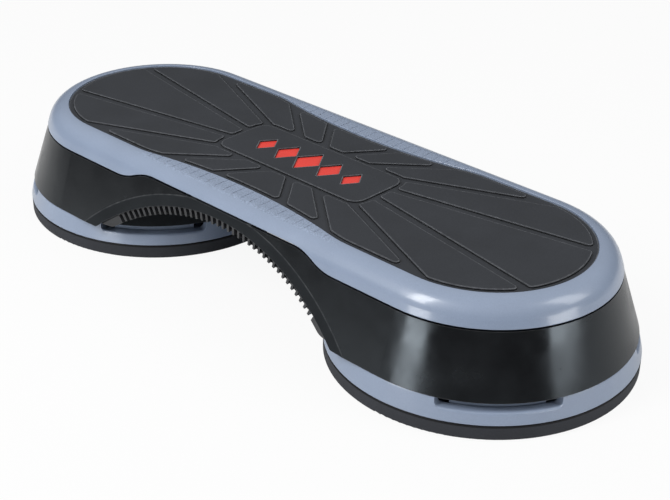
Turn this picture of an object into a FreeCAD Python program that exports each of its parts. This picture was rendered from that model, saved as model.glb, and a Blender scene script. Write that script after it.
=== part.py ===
import FreeCAD
import Part
import Sketcher

import os
import re

# Aerobic step platform: a waisted rubber mat on a moulded deck, carried by a drafted body of two
# round drums and two arched side panels. Each drum stands on a lift-off riser with a rubber foot.
# Millimetres, +Z up, +X along the platform. The origin is on the floor, midway between the drums.

SIZES = {
    # Main places
    "axis_spacing": 463.0,
    "foot_radius": 150.0,
    "foot_height": 15.0,
    "riser_height": 20.5,
    "body_height": 61.5,
    "deck_height": 23.0,
    "overrun": 5.0,
    # Rubber foot ring
    "foot_width": 26.0,
    "foot_round": 2.0,
    "edge_break": 0.8,
    # Riser
    "riser_taper": 4.3,
    "riser_round": 2.0,
    "riser_floor": 3.0,
    "ring_width": 7.7,
    "notch_depth": 8.5,
    "notch_corner": 5.0,
    "notch_lip_round": 2.5,
    "post_gap": 2.0,
    "post_wall": 4.0,
    "post_height": 27.0,
    "post_clearance": 0.6,
    # Body
    "body_taper": 20.7,
    "body_wall": 3.2,
    "inner_wall": 2.0,
    "inner_wall_inset": 0.6,
    "arch_radius": 265.0,
    "arch_lift": 1.5,
    "arch_band": 11.5,
    "arch_bevel": 1.0,
    # Seam between body and deck
    "seam_gap": 1.6,
    "wave_rise": 11.5,
    "wave_inner": 100.0,
    "wave_outer": 155.0,
    # Ribbed grip strip
    "tooth_length": 9.6,
    "tooth_gap": 5.0,
    "tooth_lean": 3.0,
    "strip_root": 8.0,
    "strip_depth": 9.0,
    "strip_back": 2.0,
    "strip_back_drop": 0.4,
    "strip_seat_gap": 0.1,
    "toe_clearance": 4.5,
    "toe_round": 14.0,
    # Deck
    "deck_overhang": 0.7,
    "deck_wall": 3.2,
    "deck_floor": 3.0,
    "deck_haunch": 10.0,
    "rim_round": 22.5,
    "deck_edge_round": 0.8,
    "grip_width": 1.2,
    "grip_depth": 0.5,
    "grip_reach": 7.5,
    "grip_span": 250.0,
    "rib_width": 2.5,
    "rib_height": 6.0,
    "rib_offset": 45.0,
    "rib_overhang": 68.5,
    "cross_rib_margin": 10.5,
    "cross_rib_inset": 23.0,
    # Tread mat
    "mat_thickness": 4.0,
    "mat_relief": 1.8,
    "mat_clearance": 0.3,
    "mat_margin": 25.2,
    "mat_border": 5.0,
    "waist_depth": 15.5,
    "waist_half_length": 150.0,
    "waist_blend": 113.0,
    "ray_width": 8.6,
    "ray_start": 40.0,
    "panel_corner": 4.0,
    "panel_edge_round": 0.8,
    "plaque_half_length": 100.0,
    "plaque_half_width": 36.0,
    "plaque_corner": 14.0,
    "plaque_groove": 5.0,
    # Badge inlay
    "badge_pitch": 30.0,
    "badge_half_width": 15.0,
    "badge_half_height": 22.0,
    "badge_pocket": 2.6,
    "badge_thickness": 1.0,
    "badge_clearance": 0.15,
    # Deck fixing
    "lug_inset": 19.0,
    "lug_width": 15.0,
    "lug_height": 6.5,
    "boss_radius": 6.0,
    # Screws
    "screw_radius": 2.1,
    "screw_clearance": 0.4,
    "thread_clearance": 0.1,
    "screw_head_radius": 4.5,
    "screw_head_height": 3.0,
    "screw_bite": 13.0,
    "screw_slot_width": 1.2,
    "screw_slot_depth": 1.3,
    "foot_screw_recess": 6.0,
}

# Tests of edges: a length that counts as none, and the sine of the least angle of a corner
SMALL = 0.001
CORNER_SINE = 0.1

# Angles in degrees and counts
NOTCH_COUNT = 4
NOTCH_ANGLE = 45.0
POST_ANGLE = 36.0
TOOTH_COUNT = 39
TOOTH_SWEEP = 64.0
CROSS_RIB_COUNT = 7
GRIP_COUNT = 21

# Rays of the mat: angle from the long axis, and where the ray's line meets that axis as a share of
# the plaque's half length
RAY_ANGLES = (10.2, 23.5, 40.0, 52.0)
RAY_FOOT_SHARES = (0.37, 0.11, 0.04, -0.17)

# Lozenges of the badge, from left to right, as shares of the largest one
BADGE_SIZE_SHARES = (0.7, 0.85, 1.0, 0.85, 0.7)

# Levels and radii worked out from the sizes
DRUM_X = "(axis_spacing / 2)"
BODY_BASE = "(foot_height + riser_height)"
DECK_BASE = "(foot_height + riser_height + body_height)"
TOP = "(foot_height + riser_height + body_height + deck_height)"
CROWN = f"({DECK_BASE} + wave_rise - seam_gap)"
SHELL_TOP = f"({CROWN} + arch_band)"
LUG_TOP = f"({DECK_BASE} - seam_gap)"
DRAFT = "(body_taper / body_height)"
BODY_FOOT = "(foot_radius - riser_taper)"
BODY_TOP = "(foot_radius - riser_taper - body_taper)"
RING_INNER = f"({BODY_FOOT} - ring_width)"
POST_OUTER = f"({RING_INNER} - post_gap)"
FOOT_SCREW_CIRCLE = f"({BODY_FOOT} - ring_width / 2)"
LUG_CIRCLE = f"({BODY_TOP} - lug_inset)"
DECK_UNDERSIDE = f"({TOP} - mat_thickness - deck_floor)"
DECK_EDGE = f"({BODY_TOP} + deck_overhang)"
MAT_FLOOR = f"({TOP} - mat_thickness)"
MAT_END = f"({DECK_EDGE} - mat_margin)"
WAIST_HALF = f"({MAT_END} - waist_depth)"
ARCH_CREST = f"({DECK_BASE} + arch_lift)"
ARCH_CENTRE = f"({ARCH_CREST} - arch_radius)"
FAR = f"({DRUM_X} + foot_radius + overrun)"

SIDES = {"left": -1, "right": 1}
QUARTERS = ((1, 0), (0, 1), (-1, 0), (0, -1))

doc = FreeCAD.newDocument("StepPlatform")
sheet = doc.addObject("Spreadsheet::Sheet", "Sizes")
for row, (name, size) in enumerate(SIZES.items(), start=1):
    sheet.set(f"A{row}", name)
    sheet.set(f"B{row}", str(size))
    sheet.setAlias(f"B{row}", name)
workings = doc.addObject("Spreadsheet::Sheet", "Workings")
doc.recompute()

SIZE_NAMES = re.compile(r"\b(" + "|".join(SIZES) + r")\b")


def sized(text):
    """Expression in which each size name reads the sheet."""
    return SIZE_NAMES.sub(r"Sizes.\1", str(text))


def number(text):
    """Present value of an expression, worked out in a spare cell."""
    workings.set("A1", f"={sized(text)}")
    workings.recompute()
    value = workings.get("A1")
    return float(getattr(value, "Value", value))


def wall_radius(level):
    """Outer radius of the drafted body at a level."""
    return f"({BODY_FOOT} - {DRAFT} * ({level} - {BODY_BASE}))"


# Sketch helpers


def new_body(label, across=None, lift=None):
    """Empty body with its node name, moved along X and Z by expressions."""
    body = doc.addObject("PartDesign::Body", label)
    body.Label = label
    if across:
        body.setExpression("Placement.Base.x", sized(across))
    if lift:
        body.setExpression("Placement.Base.z", sized(lift))
    return body


def origin_feature(body, role):
    """Plane or axis of the body's own origin."""
    return next(feature for feature in body.Origin.OriginFeatures if feature.Role == role)


def sketch_on(body, name, plane, across=None, lift=None, turn=None):
    """Sketch on an origin plane, moved along its first axis and its normal, or turned by a rotation."""
    sketch = body.newObject("Sketcher::SketchObject", name)
    sketch.AttachmentSupport = (origin_feature(body, plane), [""])
    sketch.MapMode = "FlatFace"
    if turn:
        sketch.AttachmentOffset = FreeCAD.Placement(FreeCAD.Vector(), turn)
    if across:
        sketch.setExpression("AttachmentOffset.Base.x", sized(across))
    if lift:
        sketch.setExpression("AttachmentOffset.Base.z", sized(lift))
    return sketch


def bind(sketch, constraint, text):
    """Tie a sketch dimension to an expression."""
    index = sketch.addConstraint(constraint)
    sketch.renameConstraint(index, f"size{index}")
    sketch.setExpression(f"Constraints.size{index}", sized(text))


def place(sketch, geometry, point, x, y):
    """Tie a sketch point to two expressions, measured from the sketch's origin."""
    for kind, axis, text in (("DistanceX", -2, x), ("DistanceY", -1, y)):
        value = number(text)
        if value == 0:
            sketch.addConstraint(Sketcher.Constraint("PointOnObject", geometry, point, axis))
        elif value < 0:
            bind(sketch, Sketcher.Constraint(kind, geometry, point, -1, 1, -value), f"-({text})")
        else:
            bind(sketch, Sketcher.Constraint(kind, -1, 1, geometry, point, value), text)


def arc_between(start, end, radius, clockwise):
    """Arc of less than a half turn from start to end."""
    first = FreeCAD.Vector(*start)
    last = FreeCAD.Vector(*end)
    chord = last - first
    rise = max(radius ** 2 - (chord.Length / 2) ** 2, 0) ** 0.5
    side = FreeCAD.Vector(-chord.y, chord.x, 0).normalize()
    centre = (first + last) / 2 + side * (-rise if clockwise else rise)
    ends = (last, first) if clockwise else (first, last)
    angles = [FreeCAD.Vector(1, 0, 0).getAngle(end - centre) for end in ends]
    angles = [angle if end.y >= centre.y else -angle for angle, end in zip(angles, ends)]
    circle = Part.Circle(centre, FreeCAD.Vector(0, 0, 1), radius)
    return Part.ArcOfCircle(circle, angles[0], angles[1])


def draw(sketch, corners):
    """Closed outline. A corner is (x, y), with a radius and "ccw" or "cw" where an arc runs to the next."""
    spots = [(number(corner[0]), number(corner[1]), 0) for corner in corners]
    first = sketch.GeometryCount
    ends = []
    for place_in_list, corner in enumerate(corners):
        start = spots[place_in_list]
        end = spots[(place_in_list + 1) % len(corners)]
        if len(corner) == 2:
            sketch.addGeometry(Part.LineSegment(FreeCAD.Vector(*start), FreeCAD.Vector(*end)))
            ends.append((1, 2))
        else:
            clockwise = corner[3] == "cw"
            sketch.addGeometry(arc_between(start, end, number(corner[2]), clockwise))
            ends.append((2, 1) if clockwise else (1, 2))
    for place_in_list, corner in enumerate(corners):
        following = (place_in_list + 1) % len(corners)
        joint = (first + place_in_list, ends[place_in_list][1], first + following, ends[following][0])
        sketch.addConstraint(Sketcher.Constraint("Coincident", *joint))
    for place_in_list, corner in enumerate(corners):
        geometry = first + place_in_list
        place(sketch, geometry, ends[place_in_list][0], corner[0], corner[1])
        if len(corner) > 2:
            radius = Sketcher.Constraint("Radius", geometry, number(corner[2]))
            bind(sketch, radius, corner[2])


def draw_circle(sketch, x, y, radius):
    """Circle about a point given by two expressions."""
    centre = FreeCAD.Vector(number(x), number(y), 0)
    circle = Part.Circle(centre, FreeCAD.Vector(0, 0, 1), number(radius))
    geometry = sketch.addGeometry(circle)
    place(sketch, geometry, 3, x, y)
    bind(sketch, Sketcher.Constraint("Radius", geometry, number(radius)), radius)


def box_corners(low_x, low_y, high_x, high_y):
    """Corners of an upright rectangle."""
    return [(low_x, low_y), (high_x, low_y), (high_x, high_y), (low_x, high_y)]


# Feature helpers


def swept(body, kind, name, sketch, length=None, both_sides=False, backwards=False):
    """Pad or Pocket of a sketch; with no length a Pocket runs right through."""
    feature = body.newObject(f"PartDesign::{kind}", name)
    feature.Profile = sketch
    if length:
        feature.setExpression("Length", sized(length))
    else:
        feature.Type = "ThroughAll"
    if both_sides:
        feature.SideType = "Symmetric"
    feature.Reversed = backwards
    return feature


def turned(body, kind, name, sketch, angle=360.0):
    """Revolution or Groove of a sketch about its own upright axis, to both sides of its plane."""
    feature = body.newObject(f"PartDesign::{kind}", name)
    feature.Profile = sketch
    feature.ReferenceAxis = (sketch, ["V_Axis"])
    feature.Angle = angle
    feature.Midplane = angle < 360.0
    return feature


def polar(body, name, originals, axis, count, angle=360.0):
    """Copies of features round an axis of the body's origin."""
    pattern = body.newObject("PartDesign::PolarPattern", name)
    pattern.Originals = originals
    pattern.Axis = (origin_feature(body, axis), [""])
    pattern.Angle = angle
    pattern.Occurrences = count
    body.Tip = pattern
    return pattern


def in_row(body, name, original, length, count):
    """Copies of a feature along the body's X axis."""
    pattern = body.newObject("PartDesign::LinearPattern", name)
    pattern.Originals = [original]
    pattern.Direction = (origin_feature(body, "X_Axis"), [""])
    pattern.setExpression("Length", sized(length))
    pattern.Occurrences = count
    body.Tip = pattern
    return pattern


def mirrored(body, name, originals, plane):
    """Copies of features on the other side of a plane of the body's origin."""
    mirror = body.newObject("PartDesign::Mirrored", name)
    mirror.Originals = originals
    mirror.MirrorPlane = (origin_feature(body, plane), [""])
    body.Tip = mirror
    return mirror


def rounded(body, name, base, radius, wanted):
    """Fillet on the edges that pass a test."""
    doc.recompute()
    edges = base.Shape.Edges
    names = [f"Edge{index}" for index, edge in enumerate(edges, start=1) if wanted(edge)]
    fillet = body.newObject("PartDesign::Fillet", name)
    fillet.Base = (base, names)
    fillet.setExpression("Radius", sized(radius))
    body.Tip = fillet
    return fillet


def middle_of(edge):
    """Point halfway along an edge."""
    return edge.valueAt((edge.FirstParameter + edge.LastParameter) / 2)


def at_level(edge, level):
    """True for an edge that lies in a level plane."""
    heights = (edge.BoundBox.ZMin, edge.BoundBox.ZMax)
    return all(abs(height - level) < SMALL for height in heights)


def distance_from_axis(point):
    """How far a point of a body lies from the body's Z axis."""
    return (point.x ** 2 + point.y ** 2) ** 0.5


def is_corner(shape, edge):
    """True for an edge where two faces of a shape meet at an angle."""
    middle = middle_of(edge)
    faces = shape.ancestorsOfType(edge, Part.Face)
    normals = [face.normalAt(*face.Surface.parameter(middle)) for face in faces]
    return len(normals) == 2 and normals[0].cross(normals[1]).Length > CORNER_SINE


def is_upright(edge):
    """True for a straight edge along Z."""
    return edge.Curve.TypeId == "Part::GeomLine" and abs(edge.Curve.Direction.z) > 0.999


# Screws: groups that share one node


def screw_group(body, name, places, head_base):
    """Pan-head screws that point up, with a driver slot from below."""
    heads = sketch_on(body, f"{name}HeadSketch", "XY_Plane", lift=head_base)
    shanks = sketch_on(body, f"{name}ShankSketch", "XY_Plane", lift=f"{head_base} + screw_head_height")
    slots = sketch_on(body, f"{name}SlotSketch", "XY_Plane", lift=head_base)
    for x, y in places:
        draw_circle(heads, x, y, "screw_head_radius")
        draw_circle(shanks, x, y, "screw_radius")
        reach = "screw_head_radius - screw_slot_width"
        half = "screw_slot_width / 2"
        draw(slots, box_corners(f"{x} - ({reach})", f"{y} - {half}", f"{x} + {reach}", f"{y} + {half}"))
    swept(body, "Pad", f"{name}Heads", heads, "screw_head_height")
    swept(body, "Pocket", f"{name}Slots", slots, "screw_slot_depth", backwards=True)
    return shanks


# Rubber foot ring


def foot_screw_places():
    """Foot screws about the drum's axis, under the raised parts of the riser."""
    return [(f"{x} * {FOOT_SCREW_CIRCLE}", f"{y} * {FOOT_SCREW_CIRCLE}") for x, y in QUARTERS]


def foot_ring(label, side):
    body = new_body(label, across=f"{side} * {DRUM_X}")
    section = sketch_on(body, f"{label}Section", "XZ_Plane")
    draw(section, [
        ("foot_radius - foot_width", "0"),
        ("foot_radius - foot_round", "0", "foot_round", "ccw"),
        ("foot_radius", "foot_round"),
        ("foot_radius", "foot_height - edge_break"),
        ("foot_radius - edge_break", "foot_height"),
        ("foot_radius - foot_width", "foot_height"),
    ])
    turned(body, "Revolution", f"{label}Ring", section)
    holes = sketch_on(body, f"{label}HoleSketch", "XY_Plane")
    recesses = sketch_on(body, f"{label}RecessSketch", "XY_Plane")
    for x, y in foot_screw_places():
        draw_circle(holes, x, y, "screw_radius + screw_clearance")
        draw_circle(recesses, x, y, "screw_head_radius + screw_clearance")
    swept(body, "Pocket", f"{label}Holes", holes, "foot_height + overrun", backwards=True)
    swept(body, "Pocket", f"{label}Recesses", recesses, "foot_screw_recess + screw_head_height",
          backwards=True)
    return body


def foot_screws(label, side):
    body = new_body(label, across=f"{side} * {DRUM_X}")
    shanks = screw_group(body, label, foot_screw_places(), "foot_screw_recess")
    length = "foot_height - foot_screw_recess - screw_head_height + screw_bite"
    swept(body, "Pad", f"{label}Shanks", shanks, length)
    return body


# Riser


def riser(label, side):
    body = new_body(label, across=f"{side} * {DRUM_X}")
    floor_top = "(foot_height + riser_floor)"
    section = sketch_on(body, f"{label}Section", "XZ_Plane")
    draw(section, [
        ("0", "foot_height"),
        ("foot_radius - edge_break", "foot_height"),
        ("foot_radius", "foot_height + edge_break"),
        (BODY_FOOT, f"{BODY_BASE} - riser_round", "riser_round", "ccw"),
        (f"{BODY_FOOT} - riser_round", BODY_BASE),
        (RING_INNER, BODY_BASE),
        (RING_INNER, floor_top),
        ("0", floor_top),
    ])
    turned(body, "Revolution", f"{label}Dish", section)

    # Finger notches lie between the raised parts, on the diagonals
    diagonal = FreeCAD.Rotation(FreeCAD.Vector(0, 1, 0), 180.0 / NOTCH_COUNT)
    notch_floor = f"({BODY_BASE} - notch_depth)"
    notch_section = sketch_on(body, f"{label}NotchSection", "XZ_Plane", turn=diagonal)
    draw(notch_section, box_corners(f"{RING_INNER} - overrun", notch_floor,
                                    "foot_radius + overrun", f"{BODY_BASE} + overrun"))
    notch = turned(body, "Groove", f"{label}Notch", notch_section, NOTCH_ANGLE)
    notches = polar(body, f"{label}Notches", [notch], "Z_Axis", NOTCH_COUNT)
    floor_level = number(notch_floor)
    ring_middle = number(f"{RING_INNER} + ring_width / 2")
    lips = rounded(body, f"{label}NotchLips", notches, "notch_lip_round",
                   lambda edge: at_level(edge, floor_level) and edge.Curve.TypeId != "Part::GeomLine"
                   and distance_from_axis(middle_of(edge)) > ring_middle)
    rounded(body, f"{label}NotchCorners", lips, "notch_corner",
            lambda edge: at_level(edge, floor_level) and edge.Curve.TypeId == "Part::GeomLine")

    # Posts stand behind the notches and steady the drum from inside
    post_top = f"({BODY_BASE} + post_height)"
    post_tip = f"({wall_radius(post_top)} - body_wall - post_clearance)"
    post_section = sketch_on(body, f"{label}PostSection", "XZ_Plane", turn=diagonal)
    draw(post_section, [
        (f"{POST_OUTER} - post_wall", "foot_height"),
        (POST_OUTER, "foot_height"),
        (POST_OUTER, BODY_BASE),
        (post_tip, post_top),
        (f"{post_tip} - post_wall", post_top),
        (f"{POST_OUTER} - post_wall", BODY_BASE),
    ])
    post = turned(body, "Revolution", f"{label}Post", post_section, POST_ANGLE)
    polar(body, f"{label}Posts", [post], "Z_Axis", NOTCH_COUNT)

    threads = sketch_on(body, f"{label}ThreadSketch", "XY_Plane", lift="foot_height")
    for x, y in foot_screw_places():
        draw_circle(threads, x, y, "screw_radius + thread_clearance")
    thread_holes = swept(body, "Pocket", f"{label}Threads", threads, "screw_bite + thread_clearance",
                         backwards=True)
    body.Tip = thread_holes
    return body


# Body


def wall_section(outer, thickness, low, high, sign=1):
    """Drafted wall between two levels; outer gives its outer radius at a level."""
    return [
        (f"{sign} * {outer(low)}", low),
        (f"{sign} * {outer(high)}", high),
        (f"{sign} * ({outer(high)} - {thickness})", high),
        (f"{sign} * ({outer(low)} - {thickness})", low),
    ]


def wave_edge(low, high):
    """Corners of the seam's edge from left to right: low at the ends, high in the middle."""
    run = "((wave_outer - wave_inner) / 2)"
    rise = f"(({high} - {low}) / 2)"
    bend = f"(({run}^2 + {rise}^2) / (2 * {rise}))"
    middle = "((wave_outer + wave_inner) / 2)"
    half_up = f"({low} + {rise})"
    return [
        ("-wave_outer", low, bend, "ccw"),
        (f"-{middle}", half_up, bend, "cw"),
        ("-wave_inner", high),
        ("wave_inner", high, bend, "cw"),
        (middle, half_up, bend, "ccw"),
        ("wave_outer", low),
    ]


def lug_places(radius):
    """Points on a circle about each drum's axis, left drum first."""
    return [(f"{side} * {DRUM_X} + {x} * {radius}", f"{y} * {radius}")
            for side in SIDES.values() for x, y in QUARTERS]


def body_shell(label):
    body = new_body(label)

    # Two flat side panels, each cut by an arch
    panels = sketch_on(body, "PanelSection", "YZ_Plane")
    draw(panels, wall_section(wall_radius, "body_wall", BODY_BASE, SHELL_TOP))
    draw(panels, wall_section(wall_radius, "body_wall", BODY_BASE, SHELL_TOP, sign=-1))
    swept(body, "Pad", "Panels", panels, "axis_spacing", both_sides=True)
    arch = sketch_on(body, "ArchSketch", "XZ_Plane")
    draw_circle(arch, "0", ARCH_CENTRE, "arch_radius")
    arches = swept(body, "Pocket", "Arches", arch, both_sides=True)

    # A shallow bevel borders each arch on the outside
    doc.recompute()
    crest = number(wall_radius(ARCH_CREST))
    outer_edges = [f"Edge{index}" for index, edge in enumerate(arches.Shape.Edges, start=1)
                   if edge.Curve.TypeId != "Part::GeomLine"
                   and abs(abs(middle_of(edge).y) - crest) < SMALL]
    bevel = body.newObject("PartDesign::Chamfer", "ArchBevel")
    bevel.Base = (arches, outer_edges)
    bevel.ChamferType = "Two distances"
    bevel.setExpression("Size", sized("arch_band"))
    bevel.setExpression("Size2", sized("arch_bevel"))
    body.Tip = bevel

    # Round ends, and the thinner inner halves that close the drums
    cap_section = sketch_on(body, "CapSection", "XZ_Plane", across=DRUM_X)
    draw(cap_section, wall_section(wall_radius, "body_wall", BODY_BASE, SHELL_TOP))
    cap = turned(body, "Revolution", "RoundEnd", cap_section, 180.0)

    def inner_radius(level):
        return f"({wall_radius(level)} - inner_wall_inset)"

    inner_section = sketch_on(body, "InnerWallSection", "XZ_Plane", across=DRUM_X)
    draw(inner_section, wall_section(inner_radius, "inner_wall", BODY_BASE, LUG_TOP, sign=-1))
    inner = turned(body, "Revolution", "InnerWall", inner_section, 180.0)
    mirrored(body, "LeftDrum", [cap, inner], "YZ_Plane")

    # Upper edge, high between the drums and low around them
    top_cut = sketch_on(body, "TopCutSketch", "XZ_Plane")
    draw(top_cut, [(f"-{FAR}", LUG_TOP)] + wave_edge(LUG_TOP, CROWN) + [
        (FAR, LUG_TOP),
        (FAR, f"{SHELL_TOP} + overrun"),
        (f"-{FAR}", f"{SHELL_TOP} + overrun"),
    ])
    swept(body, "Pocket", "TopEdge", top_cut, both_sides=True)

    # Lugs that carry the deck
    lugs = sketch_on(body, "LugSketch", "XY_Plane", lift=LUG_TOP)
    lug_tip = f"({wall_radius(LUG_TOP)} - body_wall / 2)"
    half = "(lug_width / 2)"
    for side in SIDES.values():
        for x, y in QUARTERS:
            inner_end = f"({LUG_CIRCLE} - {half})"
            near_x = f"{side} * {DRUM_X} + {x} * {inner_end}"
            near_y = f"{y} * {inner_end}"
            far_x = f"{side} * {DRUM_X} + {x} * {lug_tip}"
            far_y = f"{y} * {lug_tip}"
            draw(lugs, [
                (f"{near_x} + {y} * {half}", f"{near_y} - {x} * {half}"),
                (f"{far_x} + {y} * {half}", f"{far_y} - {x} * {half}"),
                (f"{far_x} - {y} * {half}", f"{far_y} + {x} * {half}"),
                (f"{near_x} - {y} * {half}", f"{near_y} + {x} * {half}"),
            ])
    swept(body, "Pad", "Lugs", lugs, "lug_height", backwards=True)
    holes = sketch_on(body, "LugHoleSketch", "XY_Plane", lift=LUG_TOP)
    for x, y in lug_places(LUG_CIRCLE):
        draw_circle(holes, x, y, "screw_radius + screw_clearance")
    body.Tip = swept(body, "Pocket", "LugHoles", holes, "lug_height + overrun")
    return body


# Ribbed grip strip behind the arch's edge


def grip_strip(label, sign):
    body = new_body(label, lift=ARCH_CENTRE)
    toe = f"({BODY_BASE} + toe_clearance)"
    crest = f"({ARCH_CREST} + strip_root)"
    tip = "(arch_radius - tooth_length)"

    def seat_radius(level):
        return f"({wall_radius(level)} - body_wall - strip_seat_gap)"

    def back_radius(level):
        return f"({seat_radius(level)} - strip_depth + strip_back)"

    section = sketch_on(body, f"{label}Section", "YZ_Plane")
    levels = wall_section(seat_radius, "strip_depth", toe, crest, sign)
    draw(section, [(y, f"{z} - {ARCH_CENTRE}") for y, z in levels])
    swept(body, "Pad", f"{label}Slab", section, "2 * arch_radius", both_sides=True)

    root = sketch_on(body, f"{label}RootSketch", "XZ_Plane")
    draw_circle(root, "0", "0", "arch_radius + strip_root")
    draw_circle(root, "0", "0", "2 * arch_radius")
    swept(body, "Pocket", f"{label}Root", root, both_sides=True)
    tips = sketch_on(body, f"{label}TipSketch", "XZ_Plane")
    draw_circle(tips, "0", "0", tip)
    arc = swept(body, "Pocket", f"{label}Tips", tips, both_sides=True)

    # The ribs' fronts stand upright below the arch
    doc.recompute()
    tip_radius = number(tip)

    def on_front_tip(edge):
        spot = middle_of(edge)
        level = f"({spot.z} + {ARCH_CENTRE})"
        front = number(f"{seat_radius(level)} - strip_depth / 4")
        return abs((spot.x ** 2 + spot.z ** 2) ** 0.5 - tip_radius) < SMALL and abs(spot.y) > front

    front_tips = [f"Edge{index}" for index, edge in enumerate(arc.Shape.Edges, start=1)
                  if on_front_tip(edge)]
    lean = body.newObject("PartDesign::Chamfer", f"{label}Lean")
    lean.Base = (arc, front_tips)
    lean.ChamferType = "Two distances"
    lean.setExpression("Size", sized("tooth_length - edge_break"))
    lean.setExpression("Size2", sized("tooth_lean"))
    body.Tip = lean

    toe_level = number(f"{toe} - {ARCH_CENTRE}")
    toe_middle = number(f"sqrt(arch_radius^2 - ({toe} - {ARCH_CENTRE})^2)")
    rounded(body, f"{label}Toes", lean, "toe_round",
            lambda edge: at_level(edge, toe_level)
            and edge.BoundBox.XLength < edge.BoundBox.YLength
            and abs(middle_of(edge).x) < toe_middle)

    start = FreeCAD.Rotation(FreeCAD.Vector(0, 0, 1), TOOTH_SWEEP / 2)
    gap_sketch = sketch_on(body, f"{label}GapSketch", "XZ_Plane", turn=start)
    half = "(tooth_gap / 2)"
    draw(gap_sketch, [
        (f"-{half}", f"{tip} - overrun"),
        (half, f"{tip} - overrun"),
        (half, f"arch_radius - {half}", half, "ccw"),
        ("0", "arch_radius", half, "ccw"),
        (f"-{half}", f"arch_radius - {half}"),
    ])
    gap = swept(body, "Pocket", f"{label}Gap", gap_sketch, both_sides=True)
    polar(body, f"{label}Gaps", [gap], "Y_Axis", TOOTH_COUNT, TOOTH_SWEEP)

    # A thin wall behind the ribs
    back_section = sketch_on(body, f"{label}BackSection", "YZ_Plane")
    back_levels = wall_section(back_radius, "strip_back", f"({toe} + toe_round)", crest, sign)
    draw(back_section, [(y, f"{z} - {ARCH_CENTRE}") for y, z in back_levels])
    swept(body, "Pad", f"{label}Back", back_section, "2 * arch_radius", both_sides=True)
    swept(body, "Pocket", f"{label}BackRoot", root, both_sides=True)
    back_tips = sketch_on(body, f"{label}BackTipSketch", "XZ_Plane")
    draw_circle(back_tips, "0", "0", f"{tip} - strip_back_drop")
    body.Tip = swept(body, "Pocket", f"{label}BackTips", back_tips, both_sides=True)
    return body


# Mat outline, shared by the mat and its recess


def mat_outline(inset):
    """Stadium with a smooth waist, drawn in by an inset."""
    reach = "((waist_half_length^2 + waist_depth^2) / (2 * waist_depth))"
    waist = f"({reach} - waist_blend + {inset})"
    blend = f"(waist_blend - {inset})"
    end = f"({MAT_END} - {inset})"
    turn_x = f"(waist_half_length * {waist} / {reach})"
    waist_centre = f"({WAIST_HALF} + {reach} - waist_blend)"
    turn_y = f"({waist_centre} - {waist} * ({reach} - waist_depth) / {reach})"
    return [
        (DRUM_X, f"-{end}", end, "ccw"),
        (f"{DRUM_X} + {end}", "0", end, "ccw"),
        (DRUM_X, end),
        ("waist_half_length", end, blend, "ccw"),
        (turn_x, turn_y, waist, "cw"),
        (f"-{turn_x}", turn_y, blend, "ccw"),
        ("-waist_half_length", end),
        (f"-{DRUM_X}", end, end, "ccw"),
        (f"-{DRUM_X} - {end}", "0", end, "ccw"),
        (f"-{DRUM_X}", f"-{end}"),
        ("-waist_half_length", f"-{end}", blend, "ccw"),
        (f"-{turn_x}", f"-{turn_y}", waist, "cw"),
        (turn_x, f"-{turn_y}", blend, "ccw"),
        ("waist_half_length", f"-{end}"),
    ]


# Deck


def deck_section(sign=1):
    """Outer half of the deck's section, from the underside's haunch round to the top edge."""
    inner_foot = f"({DECK_EDGE} - deck_wall)"
    haunch_level = f"({DECK_UNDERSIDE} - deck_haunch)"
    haunch_radius = f"({inner_foot} - {DRAFT} * ({haunch_level} - {DECK_BASE}))"
    top_radius = f"({DECK_EDGE} - {DRAFT} * deck_height)"
    return [
        (f"{sign} * ({haunch_radius} - deck_haunch)", DECK_UNDERSIDE),
        (f"{sign} * {haunch_radius}", haunch_level),
        (f"{sign} * {inner_foot}", DECK_BASE),
        (f"{sign} * {DECK_EDGE}", DECK_BASE),
        (f"{sign} * {top_radius}", TOP),
    ]


def on_lower_edge(edge):
    """True for an edge on the outside of the deck, no higher than the middle of its wave."""
    spot = middle_of(edge)
    along = max(abs(spot.x) - number(DRUM_X), 0)
    outer = number(f"{DECK_EDGE} - {DRAFT} * ({spot.z} - {DECK_BASE})")
    low_enough = spot.z < number(f"{DECK_BASE} + wave_rise") + SMALL
    return low_enough and (along ** 2 + spot.y ** 2) ** 0.5 > outer - number("deck_wall / 2")


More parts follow.
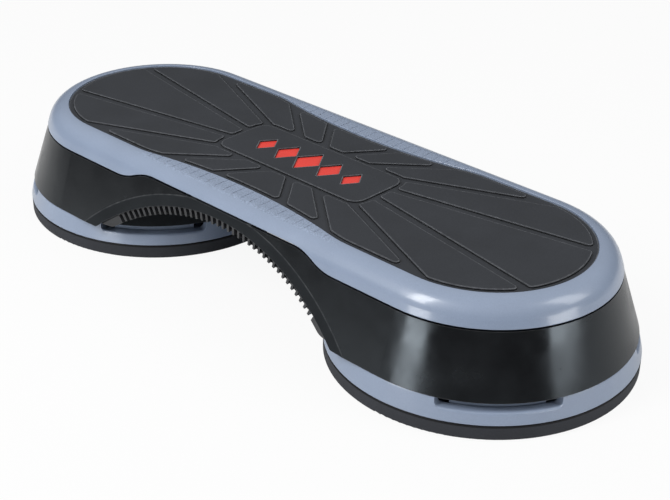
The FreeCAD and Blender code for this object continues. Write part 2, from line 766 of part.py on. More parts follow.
def deck_cover(label):
    body = new_body(label)
    section = sketch_on(body, "DeckSection", "YZ_Plane")
    draw(section, deck_section() + deck_section(sign=-1)[::-1])
    swept(body, "Pad", "DeckMiddle", section, "axis_spacing", both_sides=True)
    end_section = sketch_on(body, "DeckEndSection", "XZ_Plane", across=DRUM_X)
    draw(end_section, [("0", DECK_UNDERSIDE)] + deck_section() + [("0", TOP)])
    end = turned(body, "Revolution", "DeckEnd", end_section, 180.0)
    ends = mirrored(body, "DeckEnds", [end], "YZ_Plane")
    top_level = number(TOP)
    rounded(body, "Rim", ends, "rim_round", lambda edge: at_level(edge, top_level))

    recess = sketch_on(body, "RecessSketch", "XY_Plane", lift=TOP)
    draw(recess, mat_outline("(-mat_clearance)"))
    recessed = swept(body, "Pocket", "Recess", recess, "mat_thickness")
    rounded(body, "RecessEdge", recessed, "deck_edge_round", lambda edge: at_level(edge, top_level))

    # Fine grip lines across the flats beside the waist, run out on the rim
    grip = sketch_on(body, "GripSketch", "XY_Plane", lift=TOP)
    first_grip = "(-grip_span / 2)"
    half_grip = "(grip_width / 2)"
    grip_end = f"({MAT_END} + grip_reach)"
    for low, high in ((f"-{grip_end}", f"-{WAIST_HALF}"), (WAIST_HALF, grip_end)):
        draw(grip, box_corners(f"{first_grip} - {half_grip}", low, f"{first_grip} + {half_grip}", high))
    grip_line = swept(body, "Pocket", "GripLine", grip, "grip_depth")
    in_row(body, "GripLines", grip_line, "grip_span", GRIP_COUNT)

    # Lower edge, raised in the middle
    wave = sketch_on(body, "WaveSketch", "XZ_Plane")
    draw(wave, wave_edge(DECK_BASE, f"({DECK_BASE} + wave_rise)") + [
        ("wave_outer", f"{DECK_BASE} - overrun"),
        ("-wave_outer", f"{DECK_BASE} - overrun"),
    ])
    waved = swept(body, "Pocket", "Wave", wave, both_sides=True)
    doc.recompute()
    rounded(body, "LowerEdge", waved, "deck_edge_round",
            lambda edge: on_lower_edge(edge) and is_corner(waved.Shape, edge))

    # Stiffening ribs and screw bosses underneath
    half_rib = "(rib_width / 2)"
    long_ribs = sketch_on(body, "LongRibSketch", "XY_Plane", lift=DECK_UNDERSIDE)
    for sign in SIDES.values():
        middle = f"{sign} * rib_offset"
        draw(long_ribs, box_corners(f"-{DRUM_X} - rib_overhang", f"{middle} - {half_rib}",
                                    f"{DRUM_X} + rib_overhang", f"{middle} + {half_rib}"))
    swept(body, "Pad", "LongRibs", long_ribs, "rib_height", backwards=True)
    cross = sketch_on(body, "CrossRibSketch", "XY_Plane", lift=DECK_UNDERSIDE)
    span = "(axis_spacing - cross_rib_inset)"
    first = f"(-{span} / 2)"
    reach = f"({DECK_EDGE} - deck_wall - cross_rib_margin)"
    draw(cross, box_corners(f"{first} - {half_rib}", f"-{reach}", f"{first} + {half_rib}", reach))
    cross_rib = swept(body, "Pad", "CrossRib", cross, "rib_height", backwards=True)
    in_row(body, "CrossRibs", cross_rib, span, CROSS_RIB_COUNT)
    bosses = sketch_on(body, "BossSketch", "XY_Plane", lift=DECK_UNDERSIDE)
    threads = sketch_on(body, "BossThreadSketch", "XY_Plane", lift=LUG_TOP)
    for x, y in lug_places(LUG_CIRCLE):
        draw_circle(bosses, x, y, "boss_radius")
        draw_circle(threads, x, y, "screw_radius + thread_clearance")
    swept(body, "Pad", "Bosses", bosses, f"{DECK_UNDERSIDE} - {LUG_TOP}", backwards=True)
    body.Tip = swept(body, "Pocket", "BossThreads", threads, "screw_bite + thread_clearance",
                     backwards=True)
    return body


def deck_screws(label):
    body = new_body(label)
    head_base = f"({LUG_TOP} - lug_height - screw_head_height)"
    shanks = screw_group(body, label, lug_places(LUG_CIRCLE), head_base)
    swept(body, "Pad", f"{label}Shanks", shanks, "lug_height + screw_bite")
    return body


# Tread mat and badge


def plaque_outline(grow):
    """Rounded rectangle of the plaque, grown by a margin."""
    x = f"(plaque_half_length + {grow})"
    y = f"(plaque_half_width + {grow})"
    bend = f"(plaque_corner + {grow})"
    return [
        (f"-{x} + {bend}", f"-{y}"),
        (f"{x} - {bend}", f"-{y}", bend, "ccw"),
        (x, f"-{y} + {bend}"),
        (x, f"{y} - {bend}", bend, "ccw"),
        (f"{x} - {bend}", y),
        (f"-{x} + {bend}", y, bend, "ccw"),
        (f"-{x}", f"{y} - {bend}"),
        (f"-{x}", f"-{y} + {bend}", bend, "ccw"),
    ]


def ray_outlines(angle, foot_share):
    """One straight ray in each quarter of the mat."""
    along = FreeCAD.Rotation(FreeCAD.Vector(0, 0, 1), angle).multVec(FreeCAD.Vector(1, 0, 0))
    half = "(ray_width / 2)"
    corners = []
    far_end = f"({DRUM_X} + {MAT_END})"
    for distance, offset in (("ray_start", -1), (far_end, -1), (far_end, 1), ("ray_start", 1)):
        x = f"({foot_share} * plaque_half_length + {along.x} * {distance} - {offset * along.y} * {half})"
        y = f"({along.y} * {distance} + {offset * along.x} * {half})"
        corners.append((x, y))
    return [[(f"{x_sign} * {x}", f"{y_sign} * {y}") for x, y in corners]
            for x_sign in SIDES.values() for y_sign in SIDES.values()]


def lozenges(inset):
    """Outlines of the badge's lozenges, drawn in by an inset."""
    outlines = []
    middle = (len(BADGE_SIZE_SHARES) - 1) / 2
    for place_in_row, share in enumerate(BADGE_SIZE_SHARES):
        x = f"{place_in_row - middle} * badge_pitch"
        half_width = f"({share} * badge_half_width - {inset})"
        half_height = f"({share} * badge_half_height - {inset})"
        outlines.append([
            (f"{x} - {half_width}", "0"),
            (x, f"-{half_height}"),
            (f"{x} + {half_width}", "0"),
            (x, half_height),
        ])
    return outlines


def tread_mat(label):
    body = new_body(label)
    groove_level = f"({TOP} - mat_relief)"
    sheet_sketch = sketch_on(body, "MatSketch", "XY_Plane", lift=MAT_FLOOR)
    draw(sheet_sketch, mat_outline("0"))
    swept(body, "Pad", "MatSheet", sheet_sketch, "mat_thickness - mat_relief")
    raised = sketch_on(body, "MatReliefSketch", "XY_Plane", lift=groove_level)
    draw(raised, mat_outline("mat_border"))
    swept(body, "Pad", "MatRelief", raised, "mat_relief")
    for ray, (angle, foot_share) in enumerate(zip(RAY_ANGLES, RAY_FOOT_SHARES), start=1):
        ray_sketch = sketch_on(body, f"RaySketch{ray}", "XY_Plane", lift=TOP)
        for outline in ray_outlines(angle, foot_share):
            draw(ray_sketch, outline)
        swept(body, "Pocket", f"Rays{ray}", ray_sketch, "mat_relief")
    ring = sketch_on(body, "PlaqueGrooveSketch", "XY_Plane", lift=TOP)
    draw(ring, plaque_outline("plaque_groove"))
    cleared = swept(body, "Pocket", "PlaqueGroove", ring, "mat_relief")
    groove_height = number(groove_level)
    rounded(body, "PanelCorners", cleared, "panel_corner",
            lambda edge: is_upright(edge) and middle_of(edge).z > groove_height
            and is_corner(cleared.Shape, edge))
    plaque = sketch_on(body, "PlaqueSketch", "XY_Plane", lift=groove_level)
    draw(plaque, plaque_outline("0"))
    plaque_pad = swept(body, "Pad", "Plaque", plaque, "mat_relief")
    top_level = number(TOP)
    rounded(body, "PanelEdges", plaque_pad, "panel_edge_round", lambda edge: at_level(edge, top_level))
    pockets = sketch_on(body, "BadgePocketSketch", "XY_Plane", lift=TOP)
    for outline in lozenges("0"):
        draw(pockets, outline)
    body.Tip = swept(body, "Pocket", "BadgePockets", pockets, "badge_pocket")
    return body


def badge_inlay(label):
    body = new_body(label)
    inlay = sketch_on(body, "BadgeSketch", "XY_Plane", lift=f"{TOP} - badge_pocket")
    for outline in lozenges("badge_clearance"):
        draw(inlay, outline)
    swept(body, "Pad", "Lozenges", inlay, "badge_thickness")
    return body


nodes = [
    body_shell("body_shell"),
    deck_cover("deck_cover"),
    tread_mat("tread_mat"),
    badge_inlay("badge_inlay"),
    grip_strip("front_grip_strip", -1),
    grip_strip("rear_grip_strip", 1),
    deck_screws("deck_screws"),
]
for side_name, side in SIDES.items():
    nodes.append(riser(f"{side_name}_riser", side))
    nodes.append(foot_ring(f"{side_name}_foot_ring", side))
    nodes.append(foot_screws(f"{side_name}_foot_screws", side))
doc.recompute()

# Every object has to be sound, and every cut has to take something away
for item in doc.Objects:
    if "Invalid" in item.State or "Error" in item.State:
        raise RuntimeError(f"{item.Label} failed: {item.State}")
    if item.TypeId in ("PartDesign::Pocket", "PartDesign::Groove"):
        if not item.Shape.Volume < item.BaseFeature.Shape.Volume:
            raise RuntimeError(f"{item.Label} cuts nothing")
for node in nodes:
    if node.Shape.isNull() or not node.Shape.isValid():
        raise RuntimeError(f"{node.Label} has no valid shape")

os.makedirs("parts", exist_ok=True)
for node in nodes:
    node.Shape.exportStep(f"parts/{node.Label}.step")
    print(node.Label, len(node.Shape.Solids), "solids", round(node.Shape.Volume / 1000, 1), "ml")
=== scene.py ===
"""Looks of the aerobic step platform: finishes for the CAD pieces, a plain white stage and the photo's view.

Lengths are in metres, in the frame of the CAD part. Colours and light levels are linear, and one is white.
"""

import math

import bpy
from mathutils import Matrix, Vector

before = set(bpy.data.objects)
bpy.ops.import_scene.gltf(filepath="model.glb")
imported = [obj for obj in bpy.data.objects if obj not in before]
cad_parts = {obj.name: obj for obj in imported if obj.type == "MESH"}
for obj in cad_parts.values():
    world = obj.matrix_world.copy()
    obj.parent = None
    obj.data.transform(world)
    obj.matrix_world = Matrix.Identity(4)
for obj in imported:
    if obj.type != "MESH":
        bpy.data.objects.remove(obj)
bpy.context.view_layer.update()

MILLIMETRE = 0.001

# The photo's view: where the camera stands, what it looks at and how the picture is shifted.
CAMERA_PLACE = Vector((0.93789, -0.94425, 0.74149))
CAMERA_AIM = Vector((0.0, 0.0, 0.0))
CAMERA_ROLL = math.radians(0.06)
CAMERA_LENS = 77.69
CAMERA_SHIFT = (0.0403, 0.0217)
CLIP_RANGE = (0.01, 200.0)

# Base colours of the finishes.
DECK_BLUE = (0.235, 0.29, 0.395)
BODY_BLACK = (0.0065, 0.0068, 0.0076)
GRIP_GREY = (0.022, 0.023, 0.026)
MAT_CHARCOAL = (0.032, 0.035, 0.041)
FOOT_GREY = (0.034, 0.0365, 0.043)
BADGE_RED = (0.74, 0.05, 0.036)
SCREW_STEEL = (0.56, 0.56, 0.57)

# The floor: a square just under the object, whose matte tone and glow fade between the two radii.
FLOOR_HALF_SIDE = 60.0
FLOOR_DROP = 0.2 * MILLIMETRE
FLOOR_RADII = (1.1, 2.4)
FLOOR_NEAR_TONE = 0.68
FLOOR_FAR_TONE = 0.45

# How much of the floor's glow, and of a white world, the camera sees, and how much reflections show.
FLOOR_CAMERA_SHARE = 0.92
FLOOR_MIRROR_SHARE = 0.25
WORLD_CAMERA_SHARE = 1.0
WORLD_MIRROR_SHARE = 0.09

# The light of the world grows from the horizon to the zenith, between these heights of its direction.
HORIZON_LIGHT = 0.07
ZENITH_LIGHT = 0.68
SKY_HEIGHTS = (0.1, 0.9)

# Power of a lit panel of one square metre whose face shows as one.
WATTS_PER_RADIANCE = 4.0

# The flats beside the waist have a rougher grain: they lie above this level and within this length.
FLATS_LEVEL = 119.3 * MILLIMETRE
FLATS_LEVEL_FADE = 1.0 * MILLIMETRE
FLATS_HALF_LENGTH = 140.0 * MILLIMETRE
FLATS_END_FADE = 10.0 * MILLIMETRE

# The bevelled band round each arch is duller, and its outer crease carries a painted highlight.
ARCH_AXIS_HEIGHT = -166.5 * MILLIMETRE
ARCH_BAND_RADIUS = 276.5 * MILLIMETRE
ARCH_BAND_FADE = 0.5 * MILLIMETRE
ARCH_CREASE_FADE = (0.2 * MILLIMETRE, 0.9 * MILLIMETRE)

# Painted shade lies along the upper edge of the foot rings, from this level up to the risers, darkening the
# seam there.
FOOT_SEAM_SHADE_LEVEL = 13.0 * MILLIMETRE
FOOT_SEAM_SHADE_FADE = 0.4 * MILLIMETRE

# Wear and painted edge highlights: the cosine of a turn too slight for an edge, the size of the breaks, and
# the shares of the full amount that edges keep in the breaks and that the painted highlight along a line has
# outside them.
FLAT_TURN = 0.99
BEVEL_SAMPLES = 6
WEAR_AND_HIGHLIGHT_BREAK_SIZE = 6.0 * MILLIMETRE
LEAST_EDGE_WEAR_AND_HIGHLIGHT = 0.35
MOST_LINE_HIGHLIGHT = 0.4

# Crevices, which some finishes darken as painted shade: how far off a wall counts, how open the view is deep
# inside and on a free face, and over which part of their mask wear and painted edge highlight fade out.
CREVICE_REACH = 4.0 * MILLIMETRE
CREVICE_OPENNESS = (0.5, 0.92)
CREVICE_SAMPLES = 8
CREVICE_WEAR_AND_HIGHLIGHT_FADE = (0.0, 0.5)

# Most values of a noise, and all values of a mask, lie in these ranges.
NOISE_RANGE = (0.3, 0.7)
MASK_RANGE = (0.0, 1.0)


def link(owner, source, target):
    owner.node_tree.links.new(source, target)


def add_node(owner, kind, **settings):
    node = owner.node_tree.nodes.new(kind)
    for key, value in settings.items():
        setattr(node, key, value)
    return node


def compute(owner, operation, *values):
    """Result of a Math node on sockets and plain numbers."""
    node = add_node(owner, "ShaderNodeMath", operation=operation)
    for socket, value in zip(node.inputs, values):
        if isinstance(value, float):
            socket.default_value = value
        else:
            link(owner, value, socket)
    return node.outputs["Value"]


def spread(owner, source, low, high, source_range=NOISE_RANGE, interpolation="LINEAR"):
    """Source, taken from its own range to the range from low to high."""
    node = add_node(owner, "ShaderNodeMapRange", clamp=True, interpolation_type=interpolation)
    node.inputs["From Min"].default_value, node.inputs["From Max"].default_value = source_range
    node.inputs["To Min"].default_value = low
    node.inputs["To Max"].default_value = high
    link(owner, source, node.inputs["Value"])
    return node.outputs["Result"]


def axes(owner, vector):
    """The X, Y and Z of a vector."""
    node = add_node(owner, "ShaderNodeSeparateXYZ")
    link(owner, vector, node.inputs["Vector"])
    return node.outputs


def length(owner, vector):
    node = add_node(owner, "ShaderNodeVectorMath", operation="LENGTH")
    link(owner, vector, node.inputs[0])
    return node.outputs["Value"]


def noise(material, place, size, detail=2.0):
    """Noise whose features are about size metres across."""
    node = add_node(material, "ShaderNodeTexNoise")
    node.inputs["Scale"].default_value = 1.0 / size
    node.inputs["Detail"].default_value = detail
    link(material, place, node.inputs["Vector"])
    return node.outputs["Fac"]


def edge_mask(material, reach, full_turn):
    """One along edges and zero on the open faces, from how far a rounded normal turns.

    full_turn is the cosine of the turn that counts as a full edge.
    """
    rounded = add_node(material, "ShaderNodeBevel", samples=BEVEL_SAMPLES)
    rounded.inputs["Radius"].default_value = reach
    true_face = add_node(material, "ShaderNodeNewGeometry")
    turn = add_node(material, "ShaderNodeVectorMath", operation="DOT_PRODUCT")
    link(material, rounded.outputs["Normal"], turn.inputs[0])
    link(material, true_face.outputs["Normal"], turn.inputs[1])
    return spread(material, turn.outputs["Value"], 1.0, 0.0, (full_turn, FLAT_TURN))


def crevice_mask(material):
    """One deep in grooves and corners and zero on the open faces."""
    shade = add_node(
        material, "ShaderNodeAmbientOcclusion", samples=CREVICE_SAMPLES, only_local=True
    )
    shade.inputs["Distance"].default_value = CREVICE_REACH
    return spread(material, shade.outputs["AO"], 1.0, 0.0, CREVICE_OPENNESS)


def distance_from_arch_axis(material, place):
    """Distance from the line across the platform about which both arches are round."""
    flat = add_node(material, "ShaderNodeVectorMath", operation="MULTIPLY_ADD")
    link(material, place, flat.inputs[0])
    flat.inputs[1].default_value = (1.0, 0.0, 1.0)
    flat.inputs[2].default_value = (0.0, 0.0, -ARCH_AXIS_HEIGHT)
    return length(material, flat.outputs["Vector"])


def arch_band_mask(material, place):
    """One on the bevelled band round the arches and zero outside it."""
    edge = (ARCH_BAND_RADIUS - ARCH_BAND_FADE, ARCH_BAND_RADIUS + ARCH_BAND_FADE)
    return spread(material, distance_from_arch_axis(material, place), 1.0, 0.0, edge)


def arch_crease_mask(material, place):
    """One along the crease where the band meets the side panel, which gets a painted highlight."""
    distance = distance_from_arch_axis(material, place)
    away = compute(material, "ABSOLUTE", compute(material, "SUBTRACT", distance, ARCH_BAND_RADIUS))
    return spread(material, away, 1.0, 0.0, ARCH_CREASE_FADE)


def flats_mask(material, place):
    """One on the flats beside the waist of the deck and zero elsewhere."""
    parts = axes(material, place)
    reach = compute(material, "ABSOLUTE", parts["X"])
    ends = (FLATS_HALF_LENGTH - FLATS_END_FADE, FLATS_HALF_LENGTH + FLATS_END_FADE)
    within = spread(material, reach, 1.0, 0.0, ends)
    above = spread(material, parts["Z"], 0.0, 1.0, (FLATS_LEVEL - FLATS_LEVEL_FADE, FLATS_LEVEL))
    return compute(material, "MULTIPLY", within, above)


def foot_seam_shade_mask(material, place):
    """One along the upper edge of the foot rings and zero below it, where painted shade darkens the seam."""
    edge = (FOOT_SEAM_SHADE_LEVEL - FOOT_SEAM_SHADE_FADE, FOOT_SEAM_SHADE_LEVEL + FOOT_SEAM_SHADE_FADE)
    return spread(material, axes(material, place)["Z"], 0.0, 1.0, edge)


def worn_and_highlit_paint(material, place, paint, wear_and_highlight, hidden):
    """Paint, lighter along edges as wear and painted highlight and along a given line as painted highlight,
    not deep in crevices.
    """
    broken = noise(material, place, WEAR_AND_HIGHLIGHT_BREAK_SIZE, detail=3.0)
    amount = compute(
        material,
        "MULTIPLY",
        edge_mask(material, wear_and_highlight["reach"], wear_and_highlight["full_turn"]),
        spread(material, broken, LEAST_EDGE_WEAR_AND_HIGHLIGHT * wear_and_highlight["share"], wear_and_highlight["share"]),
    )
    if hidden:
        reached = spread(material, hidden, 1.0, 0.0, CREVICE_WEAR_AND_HIGHLIGHT_FADE)
        amount = compute(material, "MULTIPLY", amount, reached)
    if "line" in wear_and_highlight:
        line_highlight = spread(material, broken, 0.0, MOST_LINE_HIGHLIGHT * wear_and_highlight["share"])
        along = compute(material, "MULTIPLY", wear_and_highlight["line"](material, place), line_highlight)
        amount = compute(material, "MAXIMUM", amount, along)
    lightened = add_node(material, "ShaderNodeMix", data_type="RGBA")
    link(material, amount, lightened.inputs["Factor"])
    link(material, paint, lightened.inputs["A"])
    lightened.inputs["B"].default_value = (*wear_and_highlight["colour"], 1.0)
    return lightened.outputs["Result"]


def finish(
    name,
    colour,
    roughness,
    speckle,
    patch,
    grain,
    wear_and_highlight=None,
    specular=0.5,
    specular_tint=(1.0, 1.0, 1.0),
    coat=0.0,
    coat_roughness=0.2,
    metallic=0.0,
    rough_zone=None,
    dull_zone=None,
    painted_shade_zone=None,
    crevice_shade=0.0,
):
    """A finish with speckle, slow patches of tone and gloss, moulded grain, edges lighter as wear and
    painted highlight, and painted shade.

    roughness is the range over the patches, and the crevice share is the tone lost in crevices as painted
    shade.
    Of the zones, rough_zone has a coarser grain and a mottled tone, dull_zone some roughness added,
    and the shade zone a tone that is scaled down as painted shade.
    """
    material = bpy.data.materials.new(name)
    material.use_nodes = True
    shader = material.node_tree.nodes["Principled BSDF"]
    shader.inputs["Metallic"].default_value = metallic
    shader.inputs["Specular IOR Level"].default_value = specular
    shader.inputs["Specular Tint"].default_value = (*specular_tint, 1.0)
    shader.inputs["Coat Weight"].default_value = coat
    shader.inputs["Coat Roughness"].default_value = coat_roughness
    place = add_node(material, "ShaderNodeTexCoord").outputs["Object"]
    fine = noise(material, place, speckle["size"])
    slow = noise(material, place, patch["size"], detail=4.0)
    rough = rough_zone["mask"](material, place) if rough_zone else None
    hidden = crevice_mask(material) if crevice_shade else None

    tone = compute(
        material,
        "MULTIPLY",
        spread(material, fine, 1.0 - speckle["share"], 1.0 + speckle["share"]),
        spread(material, slow, 1.0 - patch["share"], 1.0 + patch["share"]),
    )
    if rough_zone:
        mottle = noise(material, place, rough_zone["grain"], detail=1.0)
        lift = compute(material, "MULTIPLY", rough, spread(material, mottle, *rough_zone["tint"]))
        tone = compute(material, "MULTIPLY_ADD", lift, tone, tone)
    # Painted shade: the tone is lowered deep in crevices.
    if hidden:
        unshaded_share = spread(material, hidden, 1.0, 1.0 - crevice_shade, MASK_RANGE)
        tone = compute(material, "MULTIPLY", tone, unshaded_share)
    # Painted shade: the tone is scaled down along a zone, such as the seam at the top of the foot rings.
    if painted_shade_zone:
        shaded_zone = painted_shade_zone["mask"](material, place)
        unshaded_share = spread(material, shaded_zone, 1.0, painted_shade_zone["tone"], MASK_RANGE)
        tone = compute(material, "MULTIPLY", tone, unshaded_share)
    tinted = add_node(material, "ShaderNodeVectorMath", operation="SCALE")
    tinted.inputs[0].default_value = colour
    link(material, tone, tinted.inputs["Scale"])
    paint = tinted.outputs["Vector"]
    # Edges are lighter, partly as wear and partly as painted highlight.
    if wear_and_highlight:
        paint = worn_and_highlit_paint(material, place, paint, wear_and_highlight, hidden)
    link(material, paint, shader.inputs["Base Color"])

    gloss = spread(material, slow, *roughness)
    if dull_zone:
        dull = dull_zone["mask"](material, place)
        gloss = compute(material, "MULTIPLY_ADD", dull, dull_zone["roughness"], gloss)
    link(material, gloss, shader.inputs["Roughness"])

    relief = noise(material, place, grain["size"], detail=3.0)
    if rough_zone:
        coarse = compute(material, "MULTIPLY", rough, noise(material, place, rough_zone["grain"]))
        steepness = rough_zone["depth"] / grain["depth"]
        relief = compute(material, "MULTIPLY_ADD", coarse, steepness, relief)
    bump = add_node(material, "ShaderNodeBump")
    bump.inputs["Strength"].default_value = 1.0
    bump.inputs["Distance"].default_value = grain["depth"]
    link(material, relief, bump.inputs["Height"])
    link(material, bump.outputs["Normal"], shader.inputs["Normal"])
    return material


finishes = {
    "deck_plastic": finish(
        "deck_plastic_finish",
        DECK_BLUE,
        roughness=(0.30, 0.38),
        speckle={"size": 0.9 * MILLIMETRE, "share": 0.045},
        patch={"size": 60.0 * MILLIMETRE, "share": 0.03},
        grain={"size": 0.7 * MILLIMETRE, "depth": 0.012 * MILLIMETRE},
        wear_and_highlight={
            "colour": (0.62, 0.68, 0.78),
            "share": 0.55,
            "reach": 0.6 * MILLIMETRE,
            "full_turn": 0.80,
        },
        coat=0.55,
        coat_roughness=0.14,
        rough_zone={
            "mask": flats_mask,
            "grain": 1.5 * MILLIMETRE,
            "depth": 0.05 * MILLIMETRE,
            "tint": (-0.24, 0.26),
        },
    ),
    "body_plastic": finish(
        "body_plastic_finish",
        BODY_BLACK,
        roughness=(0.12, 0.28),
        speckle={"size": 0.8 * MILLIMETRE, "share": 0.12},
        patch={"size": 32.0 * MILLIMETRE, "share": 0.10},
        grain={"size": 0.8 * MILLIMETRE, "depth": 0.012 * MILLIMETRE},
        wear_and_highlight={
            "colour": (0.15, 0.155, 0.16),
            "share": 0.7,
            "reach": 0.7 * MILLIMETRE,
            "full_turn": 0.80,
            # The crease line is a painted highlight.
            "line": arch_crease_mask,
        },
        specular=0.45,
        specular_tint=(0.78, 0.9, 1.0),
        dull_zone={"mask": arch_band_mask, "roughness": 0.72},
    ),
    "grip_plastic": finish(
        "grip_plastic_finish",
        GRIP_GREY,
        roughness=(0.32, 0.42),
        speckle={"size": 0.8 * MILLIMETRE, "share": 0.12},
        patch={"size": 30.0 * MILLIMETRE, "share": 0.10},
        grain={"size": 0.8 * MILLIMETRE, "depth": 0.015 * MILLIMETRE},
        wear_and_highlight={
            "colour": (0.17, 0.175, 0.18),
            "share": 0.8,
            "reach": 0.6 * MILLIMETRE,
            "full_turn": 0.90,
        },
    ),
    "mat_rubber": finish(
        "mat_rubber_finish",
        MAT_CHARCOAL,
        roughness=(0.62, 0.75),
        speckle={"size": 0.7 * MILLIMETRE, "share": 0.14},
        patch={"size": 45.0 * MILLIMETRE, "share": 0.09},
        grain={"size": 0.6 * MILLIMETRE, "depth": 0.05 * MILLIMETRE},
        # The light edges of the mat's panels are partly wear and partly painted highlight.
        wear_and_highlight={
            "colour": (0.24, 0.25, 0.27),
            "share": 0.9,
            "reach": 2.2 * MILLIMETRE,
            "full_turn": 0.93,
        },
        specular=0.25,
        # The grooves of the mat are darkened as painted shade.
        crevice_shade=0.85,
    ),
    "foot_rubber": finish(
        "foot_rubber_finish",
        FOOT_GREY,
        roughness=(0.58, 0.70),
        speckle={"size": 0.8 * MILLIMETRE, "share": 0.12},
        patch={"size": 40.0 * MILLIMETRE, "share": 0.10},
        grain={"size": 0.7 * MILLIMETRE, "depth": 0.03 * MILLIMETRE},
        wear_and_highlight={
            "colour": (0.11, 0.115, 0.125),
            "share": 0.4,
            "reach": 0.6 * MILLIMETRE,
            "full_turn": 0.80,
        },
        specular=0.2,
        # Painted shade darkens the top of the foot rings, at the seam under the risers.
        painted_shade_zone={"mask": foot_seam_shade_mask, "tone": 0.15},
    ),
    "badge_red": finish(
        "badge_red_finish",
        BADGE_RED,
        roughness=(0.36, 0.46),
        speckle={"size": 0.8 * MILLIMETRE, "share": 0.05},
        patch={"size": 25.0 * MILLIMETRE, "share": 0.05},
        grain={"size": 0.7 * MILLIMETRE, "depth": 0.015 * MILLIMETRE},
        wear_and_highlight={
            "colour": (0.75, 0.14, 0.11),
            "share": 0.35,
            "reach": 0.6 * MILLIMETRE,
            "full_turn": 0.80,
        },
    ),
    "screw_steel": finish(
        "screw_steel_finish",
        SCREW_STEEL,
        roughness=(0.28, 0.40),
        speckle={"size": 0.5 * MILLIMETRE, "share": 0.06},
        patch={"size": 5.0 * MILLIMETRE, "share": 0.06},
        grain={"size": 0.4 * MILLIMETRE, "depth": 0.008 * MILLIMETRE},
        metallic=1.0,
    ),
}

# The grip strips are of the body's plastic, with a duller and greyer finish of their own.
for name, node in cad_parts.items():
    for slot in node.material_slots:
        kind = "grip_plastic" if name.endswith("grip_strip") else slot.material.name
        slot.material = finishes[kind]


def background_share(owner, camera_share, mirror_share):
    """How much of the white background a ray sees: the camera's more than reflected and refracted ones."""
    ray = add_node(owner, "ShaderNodeLightPath").outputs
    mirrored = compute(owner, "MAXIMUM", ray["Is Glossy Ray"], ray["Is Transmission Ray"])
    return compute(
        owner,
        "MAXIMUM",
        compute(owner, "MULTIPLY", mirrored, mirror_share),
        compute(owner, "MULTIPLY", ray["Is Camera Ray"], camera_share),
    )


def floor_finish():
    """Matte floor with a glow, so that it's white with a soft shadow, and pale in reflections."""
    material = bpy.data.materials.new("stage_floor_finish")
    material.use_nodes = True
    nodes = material.node_tree.nodes
    nodes.remove(nodes["Principled BSDF"])
    distance = length(material, add_node(material, "ShaderNodeTexCoord").outputs["Object"])
    matte = add_node(material, "ShaderNodeBsdfDiffuse")
    matte_tone = spread(material, distance, FLOOR_NEAR_TONE, FLOOR_FAR_TONE, FLOOR_RADII)
    link(material, matte_tone, matte.inputs["Color"])
    # To the camera the glow is white however far away the floor is.
    glow = add_node(material, "ShaderNodeEmission")
    mirrored_tone = spread(material, distance, 1.0, FLOOR_FAR_TONE, FLOOR_RADII)
    camera_ray = add_node(material, "ShaderNodeLightPath").outputs["Is Camera Ray"]
    link(material, compute(material, "MAXIMUM", mirrored_tone, camera_ray), glow.inputs["Color"])
    mixed = add_node(material, "ShaderNodeMixShader")
    share = background_share(material, FLOOR_CAMERA_SHARE, FLOOR_MIRROR_SHARE)
    link(material, share, mixed.inputs["Fac"])
    link(material, matte.outputs["BSDF"], mixed.inputs[1])
    link(material, glow.outputs["Emission"], mixed.inputs[2])
    link(material, mixed.outputs["Shader"], nodes["Material Output"].inputs["Surface"])
    return material


floor_mesh = bpy.data.meshes.new("stage_floor")
floor_mesh.from_pydata(
    [
        (FLOOR_HALF_SIDE * x, FLOOR_HALF_SIDE * y, -FLOOR_DROP)
        for x, y in ((-1, -1), (1, -1), (1, 1), (-1, 1))
    ],
    [],
    [(0, 1, 2, 3)],
)
floor = bpy.data.objects.new("stage_floor", floor_mesh)
floor_mesh.materials.append(floor_finish())
bpy.context.scene.collection.objects.link(floor)

world = bpy.data.worlds.new("stage_world")
bpy.context.scene.world = world
world.use_nodes = True
sky = world.node_tree.nodes["Background"]
sky.inputs["Color"].default_value = (1.0, 1.0, 1.0, 1.0)
direction = add_node(world, "ShaderNodeTexCoord").outputs["Generated"]
sky_light = spread(
    world, axes(world, direction)["Z"], HORIZON_LIGHT, ZENITH_LIGHT, SKY_HEIGHTS, "SMOOTHSTEP"
)
white_share = background_share(world, WORLD_CAMERA_SHARE, WORLD_MIRROR_SHARE)
link(world, compute(world, "MAXIMUM", sky_light, white_share), sky.inputs["Strength"])


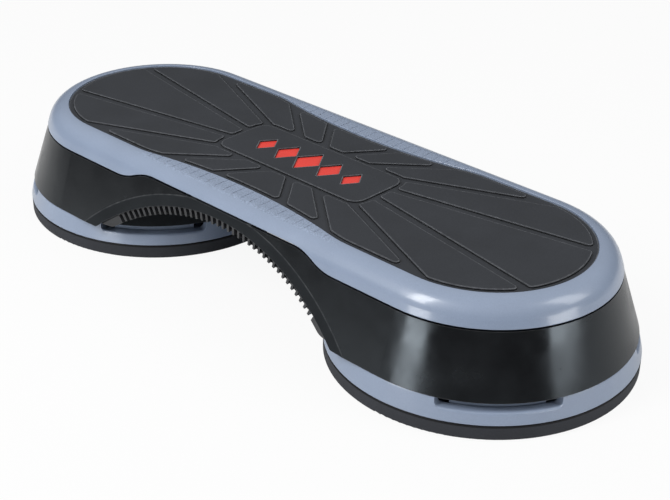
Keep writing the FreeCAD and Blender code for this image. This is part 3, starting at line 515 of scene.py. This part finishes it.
def softbox(name, azimuth, elevation, distance, width, height, radiance):
    """A lit panel that faces the object. Azimuth 0 is in front, and 90 to the right."""
    lamp = bpy.data.lights.new(name, "AREA")
    lamp.shape = "RECTANGLE"
    lamp.size = width
    lamp.size_y = height
    lamp.energy = radiance * WATTS_PER_RADIANCE * width * height
    panel = bpy.data.objects.new(name, lamp)
    turn = math.radians(azimuth)
    climb = math.radians(elevation)
    away = Vector(
        (
            math.sin(turn) * math.cos(climb),
            -math.cos(turn) * math.cos(climb),
            math.sin(climb),
        )
    )
    panel.location = away * distance
    panel.rotation_euler = away.to_track_quat("Z", "Y").to_euler()
    bpy.context.scene.collection.objects.link(panel)


# The low panels shine in the black sides, and the high ones in the rim of the deck.
softbox(
    "low_left_softbox",
    azimuth=-4.0,
    elevation=4.0,
    distance=1.7,
    width=0.55,
    height=0.30,
    radiance=7.2,
)
softbox(
    "low_right_softbox",
    azimuth=99.0,
    elevation=6.5,
    distance=1.7,
    width=0.66,
    height=0.30,
    radiance=5.2,
)
softbox(
    "high_left_softbox",
    azimuth=-14.0,
    elevation=44.0,
    distance=2.0,
    width=0.50,
    height=1.15,
    radiance=11.0,
)
softbox(
    "high_right_softbox",
    azimuth=118.0,
    elevation=38.0,
    distance=2.0,
    width=0.60,
    height=1.10,
    radiance=3.4,
)

camera_data = bpy.data.cameras.new("photo_camera")
camera_data.sensor_fit = "HORIZONTAL"
camera_data.lens = CAMERA_LENS
camera_data.shift_x, camera_data.shift_y = CAMERA_SHIFT
camera_data.clip_start, camera_data.clip_end = CLIP_RANGE
camera = bpy.data.objects.new("photo_camera", camera_data)
gaze = (CAMERA_AIM - CAMERA_PLACE).to_track_quat("-Z", "Y").to_matrix().to_4x4()
camera.matrix_world = (
    Matrix.Translation(CAMERA_PLACE) @ gaze @ Matrix.Rotation(CAMERA_ROLL, 4, "Z")
)
bpy.context.scene.collection.objects.link(camera)
bpy.context.scene.camera = camera
bpy.context.scene.view_settings.view_transform = "Standard"
